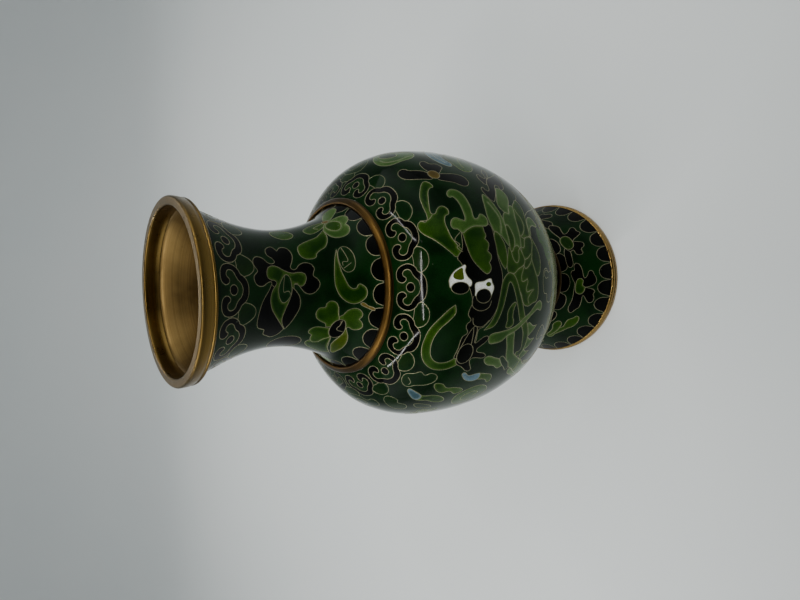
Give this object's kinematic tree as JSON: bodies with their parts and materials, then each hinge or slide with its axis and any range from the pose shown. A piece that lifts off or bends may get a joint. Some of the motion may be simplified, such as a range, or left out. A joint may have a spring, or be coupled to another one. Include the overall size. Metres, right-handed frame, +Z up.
{
  "type": "cloisonne vase",
  "caption": "Baluster vase with a flared neck and foot, enamelled in wire cells over a metal body, with brass rings at its lip, collar, waist and foot.",
  "frame": {"origin": "centre of the foot ring's underside, on the surface the vase stands on", "axes": "+Z up along the vase's axis of turning; -Y towards the decorated front"},
  "size_m": [0.1086, 0.1086, 0.2],
  "materials": {
    "ring_brass": "worn polished brass, darkened in the crevices",
    "shell_brass": "spun brass with faint turning marks and small tarnish spots",
    "ground_enamel": "glossy polished enamel, nearly black green, fine pits",
    "base_enamel": "unpolished dark green enamel",
    "black_enamel": "glossy polished enamel, brown-black",
    "leaf_enamel": "glossy polished enamel, yellowish leaf green, paler towards the wires",
    "pale_enamel": "glossy polished enamel, white and pale blue",
    "wire_brass": "fine wires polished flush with the enamel"
  },
  "bodies": {
    "root": {"lip_ring": "ring_brass", "collar_ring": "ring_brass", "waist_ring": "ring_brass", "foot_ring": "ring_brass", "neck_shell": "shell_brass", "shoulder_shell": "shell_brass", "belly_shell": "shell_brass", "foot_shell": "shell_brass", "neck_enamel": "ground_enamel", "body_enamel": "ground_enamel", "foot_enamel": "ground_enamel", "base_enamel": "base_enamel"}
  },
  "joints": []
}
